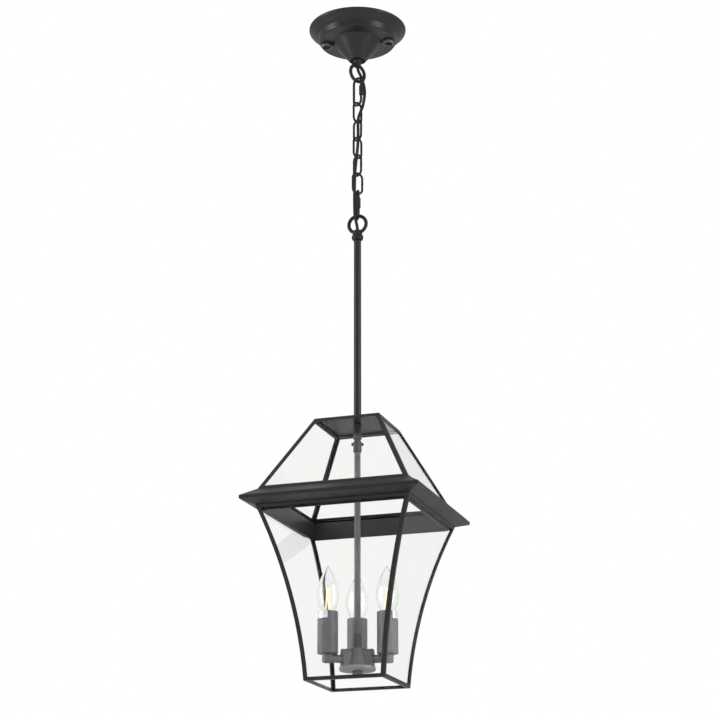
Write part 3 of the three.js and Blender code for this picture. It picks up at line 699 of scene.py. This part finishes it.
def stem_loop():
    low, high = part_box("stem_loop")
    ring_top = high.z / MM
    centre = ring_top - RING_OUTER / 2
    bottom = ring_top - RING_OUTER
    bead_top = bottom - 0.5
    boss = [
        (0, bottom + 7.4), (5.6, bottom + 7.4), (7, bottom + 5.6), (8, bottom + 1.6), (7.4, bead_top + 0.4),
        (8.4, bead_top - 0.6), (9.4, bead_top - 2.4), (9.8, bead_top - 5), (9.4, bead_top - 7.6),
        (8.4, bead_top - 9.4), (7, bead_top - 10), (3.7, bead_top - 10), (3.7, low.z / MM), (0, low.z / MM),
    ]
    shape = merged(moved(ring(RING_OUTER, STEM_RING_WIRE), z=centre), turned(eased(boss, 0.8), 48))
    shape_piece("stem_ring", shape, WIRE, "black_hardware", "lantern", "stem_loop")


def tube_profile(bore, radius, bottom, top):
    return [(bore, bottom), (radius, bottom), (radius, top), (bore, top), (bore, bottom)]


def stem():
    low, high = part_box("stem")
    bottom, top = low.z / MM, high.z / MM
    tube = turned(eased(tube_profile(STEM_BORE, STEM_RADIUS, bottom, top), 0.4), 64)
    shape_piece("stem_tube", tube, BLACK_PAINT, "black_paint", "lantern", "stem")


def at_cage(shape, turn=0):
    return moved(shape, z=CAGE_FLOOR, turn=turn)


NIPPLE_TOP = CAGE_HEIGHT - 16 - GAP
COLLAR_HEIGHT = 9.7
COUPLING_TOP = NIPPLE_TOP - COLLAR_HEIGHT - 2.5
COUPLING_BOTTOM = COUPLING_TOP - 18.5
ROD_TOP = COUPLING_TOP - 10.5
ROD_BOTTOM = HUB["base"] + 3


def coupling_parts():
    """A collar and a socket, each with a turned groove round it, and a thumbscrew at each side."""
    r, bore, hole = COUPLING_RADIUS, ROD_BORE, ROD_RADIUS + 0.1
    top, foot = NIPPLE_TOP, NIPPLE_TOP - COLLAR_HEIGHT
    collar = [
        (bore, top), (r, top), (r, top - 4), (r - 0.4, top - 4.5), (r, top - 5), (r, foot + 1),
        (r - 1, foot), (r - 2.5, foot), (r - 2.5, ROD_TOP + GAP), (bore, ROD_TOP + GAP), (bore, top),
    ]
    shape_piece("coupling_nipple", at_cage(turned(eased(collar, 0.35), 48)), DARK_PAINT, "inner_paint",
                "lantern", "coupling_collar")
    top, foot = COUPLING_TOP, COUPLING_BOTTOM
    socket = [
        (r - 2.2, top), (r - 0.8, top), (r, top - 1), (r, foot + 5), (r - 0.35, foot + 4.4),
        (r, foot + 3.8), (r, foot + 2), (r - 1, foot), (hole, foot), (hole, ROD_TOP),
        (r - 2.2, ROD_TOP + 1), (r - 2.2, top),
    ]
    shape_piece("coupling_socket", at_cage(turned(eased(socket, 0.35), 48)), DARK_PAINT, "inner_paint",
                "lantern", "coupling")
    for side, turn in (("right", 0), ("left", 180)):
        head = [(0, 4.6), (1.5, 4.6), (1.5, 6.6), (1.9, 7), (2.3, 7.4), (2.3, 9.3), (1.8, 9.8), (0, 9.8)]
        screw = moved(turned(eased(head, 0.2), 24), tilt=90)
        screw = at_cage(moved(moved(screw, z=COUPLING_TOP - 5), turn=turn), COUPLING_TURN)
        shape_piece(f"thumbscrew_head_{side}", screw, WIRE, "black_hardware", "lantern", f"thumbscrew_{side}")


def rod_parts():
    rod = tube_profile(ROD_BORE, ROD_RADIUS, ROD_BOTTOM, ROD_TOP)
    shape_piece("inner_rod_tube", at_cage(turned(eased(rod, 0.3), 48)), INNER_PAINT, "inner_paint",
                "lantern", "inner_rod")
    nut = tube_profile(ROD_RADIUS + 0.1, ROD_RADIUS + 1.3, HUB["top"] + GAP, HUB["top"] + 22)
    shape_piece("rod_ferrule", at_cage(turned(eased(nut, 0.4), 48)), DARK_PAINT, "inner_paint", "lantern",
                "rod_nut")


# ---- Cage ----


def flare(z):
    """Half side of the lower cage at a height: an arc through the floor's edge and the neck's edge."""
    half = math.hypot(NECK_HALF - FLOOR_HALF, LOWER_HEIGHT) / 2
    run, rise = (NECK_HALF - FLOOR_HALF) / 2 / half, LOWER_HEIGHT / 2 / half
    reach = math.sqrt(FLARE_RADIUS**2 - half**2)
    centre_x, centre_z = (FLOOR_HALF + NECK_HALF) / 2 + reach * rise, LOWER_HEIGHT / 2 - reach * run
    return centre_x - math.sqrt(FLARE_RADIUS**2 - (z - centre_z) ** 2)


def hip(z):
    """Half side of the upper cage at a height."""
    return ROOF_HALF + (EAVES_HALF - ROOF_HALF) * (CAGE_HEIGHT - z) / UPPER_HEIGHT


HIP_SLOPE = math.hypot(1, (EAVES_HALF - ROOF_HALF) / UPPER_HEIGHT)


def pane(outline, low, high, outer, thick, rows):
    """The pane that faces -Y: mitred at its sides, with a gap to its neighbours."""
    points = []
    for k in range(rows + 1):
        z = low + (high - low) * k / rows
        front, back = outline(z) - outer, outline(z) - outer - thick
        points += [(GAP - front, -front, z), (front - GAP, -front, z),
                   (back - GAP, -back, z), (GAP - back, -back, z)]
    return points, four_sided(rows)


def glazing():
    eaves = LOWER_HEIGHT + BAND_HEIGHT
    upper = pane(hip, eaves + GAP, CAGE_HEIGHT - ROOF_LIP - 2 * GAP, FRAME_SHEET * HIP_SLOPE + GAP,
                 GLASS * HIP_SLOPE, 1)
    lower = pane(flare, FRAME_SHEET + GAP, LOWER_HEIGHT - GAP, FRAME_SHEET + GAP, GLASS, 48)
    for side, turn in (("front", 0), ("right", 90), ("back", 180), ("left", -90)):
        shape_piece(f"upper_pane_{side}", at_cage(upper, turn), PANE_GLASS, "pane_glass", "lantern",
                    f"upper_glass_{side}")
        shape_piece(f"lower_pane_{side}", at_cage(lower, turn), PANE_GLASS, "pane_glass", "lantern",
                    f"lower_glass_{side}")


def repaint(node, material):
    made = frame["nodes"][node]
    made.data.materials.clear()
    made.data.materials.append(material)
    return made


def soften(node, material, width=0.35):
    """A folded steel piece from the frame, with its edges eased as folding leaves them."""
    made = repaint(node, material)
    weld = made.modifiers.new("joined", "WELD")
    weld.merge_threshold = 0.01 * MM
    bevel = made.modifiers.new("eased", "BEVEL")
    bevel.width = width * MM
    bevel.segments = 2
    bevel.limit_method = "ANGLE"
    bevel.angle_limit = math.radians(35)


def cage():
    for node in ("roof_plate", "upper_frame", "band", "lower_frame"):
        soften(node, CAGE_PAINT)
    glazing()


# ---- Lamp cluster ----


def hub():
    soften("hub_cover", INNER_PAINT, 0.5)
    rim, base, bottom = HUB["rim"], HUB["base"], HUB["bottom"]
    hole = 2.8
    plate = [(hole, bottom), (rim - 1.5, bottom), (rim, bottom + 1.5), (rim, base - 1), (rim - 1, base),
             (hole, base), (hole, bottom)]
    shape_piece("hub_plate", at_cage(turned(eased(plate, 0.7), 64)), HUB_PAINT, "inner_paint", "lantern",
                "hub_base")
    foot = bottom - 6.5
    knob = [(0, foot), (6.4, foot), (8, foot + 1.5), (8, bottom - GAP), (2.5, bottom - GAP),
            (2.5, base + 1.5), (0, base + 1.5)]
    shape_piece("hub_knob", at_cage(turned(eased(knob, 0.9), 48)), INNER_PAINT, "inner_paint", "lantern",
                "hub_finial")


def candle(inset):
    """The bulb's outline, from its neck at the cap to the tip, as (radius, height) points."""
    base = BULB["cap_top"] + GAP
    widest = base + 34
    neck = BULB["cap"] - 0.2
    points = [(neck - inset, base)]
    rows = 20
    for k in range(1, rows + 1):
        t = k / rows
        swell = math.sin(t * math.pi / 2) ** 1.15
        points.append((neck + (BULB["radius"] - neck) * swell - inset, base + (widest - base) * t))
    rows = 25
    for k in range(1, rows):
        t = k / rows
        taper = math.cos(t * math.pi / 2) ** 0.9
        points.append((max(BULB["radius"] * taper - inset, 0.4), widest + (BULB["tip"] - inset - widest) * t))
    return points + [(0, BULB["tip"] - inset)]


def bulb_cap_profile():
    """A small screw cap: a rolled thread of four turns between its neck and its insulated foot."""
    bottom = HOLDER["floor"] + CONTACT_HEIGHT + 2 * GAP
    cap, top = BULB["cap"], BULB["cap_top"]
    depth, rows = 0.45, 32
    thread = [(cap - depth + depth * math.cos(2 * math.pi * k / 8), bottom + 5 + 12 * k / rows)
              for k in range(rows + 1)]
    return [(0, bottom), (3.4, bottom), (4.4, bottom + 1.2), (cap - 0.6, bottom + 3.6), *thread,
            (cap, top - 3), (cap + 0.6, top - 1), (cap + 0.6, top), (cap - 1.6, top),
            (cap - 1.6, top - 4), (0, top - 4)]


def lamp(number, reach):
    """A candle sleeve on its arm, with its lampholder and its bulb."""
    angle = ARM_ANGLES[number - 1]
    bulb_body = f"bulb_{number}"

    def here(shape):
        return at_cage(moved(shape, x=reach), angle)

    start = HUB["neck"] + 2.4
    bar = turned([(0, start), (ARM_RADIUS, start), (ARM_RADIUS, reach), (0, reach)], 40)
    bar = at_cage(moved(moved(bar, tilt=90), z=ARM_HEIGHT), angle)
    low = ARM_HEIGHT - ARM_RADIUS - 0.6
    cup = [(0, low), (CUP_RADIUS - 1.5, low), (CUP_RADIUS, low + 1.6), (CUP_RADIUS, SLEEVE["bottom"] - GAP),
           (0, SLEEVE["bottom"] - GAP)]
    shape_piece(f"arm_{number}_tube", merged(bar, here(turned(eased(cup, 0.9), 40))), INNER_PAINT,
                "inner_paint", "lantern", f"arm_{number}")

    r, wall, hole, foot = (SLEEVE[key] for key in ("radius", "wall", "hole", "bottom"))
    top = foot + SLEEVE["length"]
    tube = [(hole, foot), (r, foot), (r, top), (r - wall, top), (r - wall, foot + wall),
            (hole, foot + wall), (hole, foot)]
    shape_piece(f"sleeve_{number}_tube", here(turned(eased(tube, 0.5), 64)), INNER_PAINT, "inner_paint",
                "lantern", f"sleeve_{number}")

    base = foot + wall + GAP
    r, bore, top, floor = (HOLDER[key] for key in ("radius", "bore", "top", "floor"))
    body = [(0, base - 3.5), (5, base - 3.5), (5, base), (r, base), (r, floor - 2), (r - 1, floor),
            (r - 1, top), (bore, top), (bore, floor), (0, floor)]
    shape_piece(f"lampholder_{number}_body", here(turned(eased(body, 0.5), 48)), THERMOSET,
                "holder_plastic", "lantern", f"lampholder_{number}")

    low, high = floor + GAP, floor + GAP + CONTACT_HEIGHT
    pin = [(0, low), (1.6, low), (2.6, low + 1), (2.6, high), (0, high)]
    shape_piece(f"bulb_contact_{number}_pin", here(turned(eased(pin, 0.4), 24)), BRASS, "contact_brass",
                f"bulb_{number}_contact", f"bulb_contact_{number}")
    shape_piece(f"bulb_cap_{number}_shell", here(turned(bulb_cap_profile(), 48)), NICKEL, "cap_nickel",
                bulb_body, f"bulb_cap_{number}")
    envelope = [*reversed(candle(BULB["wall"])), *candle(0)]
    shell = here(turned(envelope, 64))
    shape_piece(f"bulb_glass_{number}_envelope", shell, BULB_GLASS, "bulb_glass", bulb_body,
                f"bulb_glass_{number}", sharp=80)
    filaments(number, here, bulb_body)


def filaments(number, here, body):
    """Four glowing strips that lean together over a glass post, each on its lead wires."""
    neck = BULB["cap_top"] - 3.5
    foot, top = BULB["cap_top"] + 11, BULB["cap_top"] + 47
    post = [(0, neck), (4.6, neck), (4.4, neck + 3), (2.4, neck + 9), (1.7, foot - 1), (0, foot - 0.4)]
    shape_piece(f"bulb_{number}_post", here(turned(eased(post, 0.6), 24)), BULB_GLASS, "bulb_glass",
                body, sharp=80)
    strips, wires = [], []
    for k in range(4):
        a = math.radians(45 + 90 * k)
        root, low, high = ((r * math.cos(a), r * math.sin(a), z)
                           for r, z in ((0.8, foot - 2), (4.4, foot), (1.6, top)))
        strips.append(along([low, high], FILAMENT_RADIUS, 10))
        wires.append(along([root, low], LEAD_RADIUS, 6))
        wires.append(along([high, (0, 0, top + 2.5)], LEAD_RADIUS, 6))
    shape_piece(f"bulb_{number}_filaments", here(merged(*strips)), FILAMENT, "filament", body)
    shape_piece(f"bulb_{number}_lead_wires", here(merged(*wires)), NICKEL, "cap_nickel", body)


def foil_patch(number, reach, start, end):
    """A plain strip of foil stuck round the sleeve's top, between two directions about Z."""
    top = SLEEVE["bottom"] + SLEEVE["length"] - 0.6
    inner = SLEEVE["radius"] + 0.02
    outer = inner + FOIL["thick"]
    foot = top - FOIL["height"]
    steps = 28
    points = []
    for k in range(steps + 1):
        a = math.radians(start + (end - start) * k / steps - ARM_ANGLES[number - 1])
        for r, z in ((outer, foot), (outer, top), (inner, top), (inner, foot)):
            points.append((r * math.cos(a), r * math.sin(a), z))
    faces = four_sided(steps)
    shape = at_cage(moved((points, faces), x=reach), ARM_ANGLES[number - 1])
    shape_piece(f"sleeve_{number}_foil", shape, FOIL_SKIN, "foil_label", "lantern")


def cluster():
    low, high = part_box("sleeve_1")
    middle = (low + high) / 2
    reach = math.hypot(middle.x, middle.y) / MM
    hub()
    for number in (1, 2, 3):
        lamp(number, reach)
    foil_patch(3, reach, 198.7, 288.7)
    foil_patch(1, reach, -43.3, 18.7)


# ---- The studio ----


def studio():
    """A white room, darker below, with a tall soft box at each side and a pale floor far below."""
    world = bpy.data.worlds.new("studio")
    bpy.context.scene.world = world
    world.use_nodes = True
    tree = world.node_tree
    tree.nodes.clear()
    place = add(tree, "ShaderNodeTexCoord")
    axes = add(tree, "ShaderNodeSeparateXYZ", links={"Vector": (place, "Generated")})
    height = add(tree, "ShaderNodeMapRange",
                 {"From Min": -1.0, "From Max": 1.0, "To Min": 0.2, "To Max": 0.75}, {"Value": (axes, "Z")})
    room = add(tree, "ShaderNodeBackground", links={"Strength": (height, "Result")})
    paper = add(tree, "ShaderNodeBackground", {"Strength": 1.0})
    for background in (room, paper):
        background.inputs["Color"].default_value = (1, 1, 1, 1)
    either = seen_directly(tree)
    both = add(tree, "ShaderNodeMixShader")
    tree.links.new(either.outputs["Value"], both.inputs[0])
    tree.links.new(room.outputs["Background"], both.inputs[1])
    tree.links.new(paper.outputs["Background"], both.inputs[2])
    add(tree, "ShaderNodeOutputWorld", links={"Surface": (both, "Shader")})

    reach, drop = 2.4, 0.5  # metres from the lantern, and below the ceiling
    for name, turn, power in (("soft_box_left", -58, 26), ("soft_box_right", 76, 22)):
        data = bpy.data.lights.new(name, "AREA")
        data.shape = "RECTANGLE"
        data.size, data.size_y = 0.7, 2.4
        data.energy = power
        made = bpy.data.objects.new(name, data)
        a = math.radians(turn)
        made.location = (reach * math.sin(a), -reach * math.cos(a), -drop)
        made.rotation_euler = (math.radians(90), 0, a)
        bpy.context.scene.collection.objects.link(made)

    edge = circle(200000, -2400, 64)
    floor = piece("floor", edge, [list(range(len(edge)))], studio_floor(), "black_paint")
    bpy.context.scene.view_settings.view_transform = "Standard"


canopy()
canopy_nuts()
canopy_loop()
chain()
stem_loop()
stem()
coupling_parts()
rod_parts()
cage()
cluster()
repaint("ceiling_bracket", ZINC)
repaint("loop_locknut", ZINC)
repaint("terminal_block", THERMOSET)
repaint("stem_wire", BRAID)
studio()
